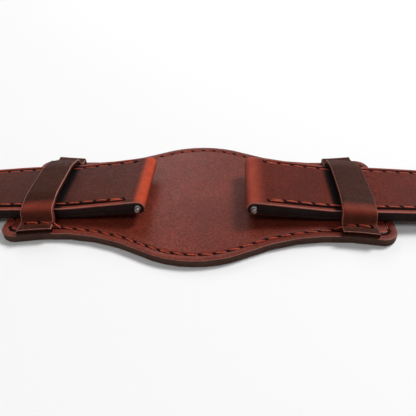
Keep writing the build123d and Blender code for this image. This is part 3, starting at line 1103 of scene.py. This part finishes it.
def pad_seam_shift(point):
    """How a point of the pad's seam moves, over the feet and under the straps."""
    along, near = abs(point.x), abs(point.y) < loop_ankle
    on_foot = band(along, loop_start - 0.15, loop_start + 0.15, loop_end - 0.15, loop_end + 0.15)
    near_foot = band(along, loop_start - 5.0, loop_start, loop_end, loop_end + 2.5)
    rise = 0.0 if near else (loop_leather + foot_swell + foot_stitch_rise) * on_foot
    rise -= under_strap_drop * smooth(lug_half - abs(point.y - lay_shift), -1.5, 0.0)
    move = 0.0 if near else (foot_stitch_inset - pad_stitch_inset) * near_foot
    return Vector((0, -math.copysign(move, point.y), rise))


def pad_stitches():
    """The seam round the pad, over the loops' feet, and its underside."""
    line = inset_line(pad_outline(row_step), pad_stitch_inset)
    path = [Vector((p.x, p.y, pad_top - stitch_sink)) for p in line + line[:1]]
    row = spaced([point + pad_seam_shift(point) for point in path], stitch_pitch)
    stitch_row("pad_seam_stitches", row, upwards, "pad", 5, pad_lean)
    back = [Vector((p.x, p.y, pad_back_height)) for p in spaced(path, stitch_pitch)]
    stitch_row("pad_seam_back_stitches", back, downwards, "pad", 9, pad_lean)


def seam_plans(half):
    """Seams of a half in plan: one each side, or one round the tail's tip."""
    start = bar[0] + stitch_start
    end = tip_base if half.pointed else buckle_bar[0] - seam_end_gap
    steps = int((end - start) / row_step)
    places = [start + (end - start) * n / steps for n in range(steps + 1)]
    far = [(x, half_width_at(x) - stitch_inset) for x in places]
    if not half.pointed:
        return [far, [(x, -y) for x, y in far]]
    nose = [edge + normal * stitch_inset for edge, normal in zip(*tip_edge())][1:]
    far += [(p.x, max(0.0, p.y)) for p in nose]
    return [far + [(x, -y) for x, y in reversed(far)][1:]]


def strap_stitches(half):
    """The seams of a half, on its top and on its lining past the pad."""
    upper, lower = strap_line(half, 1, 0), strap_line(half, -1, 0)
    body = f"{half.prefix}_half"

    def on_top(x, y):
        lift = padding(half, x) * crown(stitch_inset)
        return Vector((half.side * x, y + lay_shift, point_at(upper, x).y - stitch_sink + lift))

    def underneath(x, y):
        return Vector((half.side * x, y + lay_shift, point_at(lower, x).y + back_stitch_depth))

    for number, plan in enumerate(seam_plans(half)):
        name = f"{half.prefix}_seam_{number + 1}"
        line = spaced([on_top(x, y) for x, y in plan], strap_pitch)
        stitch_row(f"{name}_stitches", line, upwards, body, 20 + number, strap_lean)
        doubled_ends(name, line, body, half.pointed)
        back = spaced([underneath(x, y) for x, y in plan if x > pad_end + back_stitch_gap], strap_pitch)
        stitch_row(f"{name}_back_stitches", back, downwards, body, 30 + number,
                   strap_lean, back_needle_rise)


def doubled_ends(name, line, body, both):
    """The doubled stitch at a seam's lug end, or at both ends."""
    ends = [(line[0], line[1]), (line[-1], line[-2])]
    for index, (first, second) in enumerate(ends if both else ends[:1]):
        outward = Vector((0, math.copysign(0.42, first.y - lay_shift), -0.02))
        doubled = [first + outward + (first - second) * 0.12, second + outward * 0.9]
        stitch_row(f"{name}_end_{index + 1}", doubled, upwards, body, 40 + index, 0.0)


# Steel


def spring_rings(centre, coil, reach):
    """Rings along half of a coil, from its middle to one end along Y."""
    steps = spring_turns * spring_steps // 2
    rings = []
    for step in range(steps + 1):
        share = step / steps
        angle = math.tau * spring_turns / 2 * share
        outward = Vector((math.cos(angle), 0, math.sin(angle)))
        middle = centre + outward * coil + Vector((0, share * reach, 0))
        spots = [outward * c + Vector((0, s, 0)) for c, s in circle(spring_sides)]
        rings.append([middle + spot * spring_wire / 2 for spot in spots])
    return rings


def build_spring(prefix):
    """A lug bar's coil, in two halves."""
    low, high = box_of(f"{prefix}_bar_spring")
    centre, half_length = (low + high) / 2, (high.y - low.y) / 2
    coil = (high.z - low.z - spring_wire) / 2
    for end, sign in (("near", -1), ("far", 1)):
        rings = spring_rings(centre, coil, sign * (half_length - spring_wire / 2))
        name, node = f"{prefix}_bar_spring_{end}_half", f"{prefix}_bar_spring"
        piece = make_piece(name, loft(rings, steel), steel, f"{prefix}_bar", [node])
        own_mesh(piece)


def dress_steel():
    """Finishes for the steel pieces of the frame."""
    for name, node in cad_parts.items():
        turned = "_bar_" in name or name == "buckle_pin"
        if turned or name.startswith("buckle_frame") or name == "buckle_tongue":
            node.data.materials.clear()
            node.data.materials.append(steel if turned else buckle_steel)


# Stage


def seen_share(tree):
    """1 for camera, glossy and transmission rays, otherwise 0."""
    rays = add_node(tree, "LightPath", {}).outputs
    shown = combine(tree, "MAXIMUM", rays["Is Camera Ray"], rays["Is Glossy Ray"])
    return combine(tree, "MAXIMUM", shown, rays["Is Transmission Ray"])


def fade_shader(tree, share, first, second, output):
    """Fades a shader into a second one, for an output node."""
    choice = add_node(tree, "MixShader", {0: share, 1: first, 2: second})
    plug(tree, tree.nodes[output], {"Surface": choice.outputs["Shader"]})


def fade_floor(tree, shader):
    """Far from the object the floor shows the background's pale tone."""
    away = add_node(tree, "VectorMath", {0: object_place(tree)}, operation="LENGTH").outputs["Value"]
    share = combine(tree, "MULTIPLY", remap(tree, away, *floor_fade), seen_share(tree))
    pale = add_node(tree, "Emission", {"Color": background_tone, "Strength": 1.0})
    fade_shader(tree, share, shader.outputs["BSDF"], pale.outputs["Emission"], "Material Output")


def build_floor():
    """Plain pale floor under the whole object."""
    corners = [(-1, -1), (1, -1), (1, 1), (-1, 1)]
    points = [(floor_reach * x, floor_reach * y, -floor_drop) for x, y in corners]
    floor = add_mesh("floor", points, [(0, 1, 2, 3)])
    material, tree, shader = new_material("floor")
    plug(tree, shader, {"Base Color": floor_tone, "Roughness": 0.9, "Specular IOR Level": 0.1})
    fade_floor(tree, shader)
    floor.data.materials.append(material)
    floor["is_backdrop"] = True


def area_light(name, place, size, power):
    """Soft square lamp at a place in millimetres, aimed at the origin."""
    lamp = bpy.data.lights.new(name, "AREA")
    lamp.size, lamp.energy = size * mm, power
    light = add_object(name, lamp)
    light.location = Vector(place) * mm
    light.rotation_euler = (-Vector(place)).to_track_quat("-Z", "Y").to_euler()


def build_world():
    """A weak fill for the object, seen and mirrored as the pale background."""
    world = bpy.data.worlds.new("studio")
    world.use_nodes = True
    tree = world.node_tree
    fill = plug(tree, tree.nodes["Background"], {"Color": (1.0, 1.0, 1.0, 1.0), "Strength": world_fill})
    seen = add_node(tree, "Background", {"Color": background_tone, "Strength": 1.0})
    shaders = fill.outputs["Background"], seen.outputs["Background"]
    fade_shader(tree, seen_share(tree), *shaders, "World Output")
    bpy.context.scene.world = world


def build_camera():
    """The camera of the photograph."""
    tilt, yaw, roll = [math.radians(turn) for turn in camera_turns]
    ahead = Vector((math.sin(yaw) * math.cos(tilt), math.cos(yaw) * math.cos(tilt), -math.sin(tilt)))
    right = Vector((math.cos(yaw), -math.sin(yaw), 0))
    up = right.cross(ahead)
    cos, sin = math.cos(roll), math.sin(roll)
    right, up = cos * right + sin * up, -sin * right + cos * up
    data = bpy.data.cameras.new("camera")
    data.sensor_width = 36.0
    data.lens = camera_focal / image_size * data.sensor_width
    data.shift_x = -(camera_centre[0] - image_size / 2) / image_size
    data.shift_y = (camera_centre[1] - image_size / 2) / image_size
    data.clip_start, data.clip_end = 0.001, 20.0
    camera = add_object("camera", data)
    place = Vector((*camera_target, 0)) - camera_distance * ahead
    turn = Matrix((right, up, -ahead)).transposed().to_4x4()
    camera.matrix_world = Matrix.Translation(place * mm) @ turn
    bpy.context.scene.camera = camera


build_pad()
build_loop(-1, "left_loop")
build_loop(1, "right_loop")
build_half(tail)
build_half(buckle)
build_keeper("fixed_keeper", "buckle_half")
build_keeper("loose_keeper", "loose_keeper")
pad_stitches()
strap_stitches(tail)
strap_stitches(buckle)
build_spring("left_lug")
build_spring("right_lug")
dress_steel()
build_floor()
build_world()
for lamp_name, settings in lamps.items():
    area_light(lamp_name, *settings)
build_camera()
bpy.context.scene.view_settings.view_transform = "Standard"

boxes = {"cad": cad_bounds, "visual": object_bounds()}
{key: [list(corner) for corner in box] for key, box in boxes.items()}
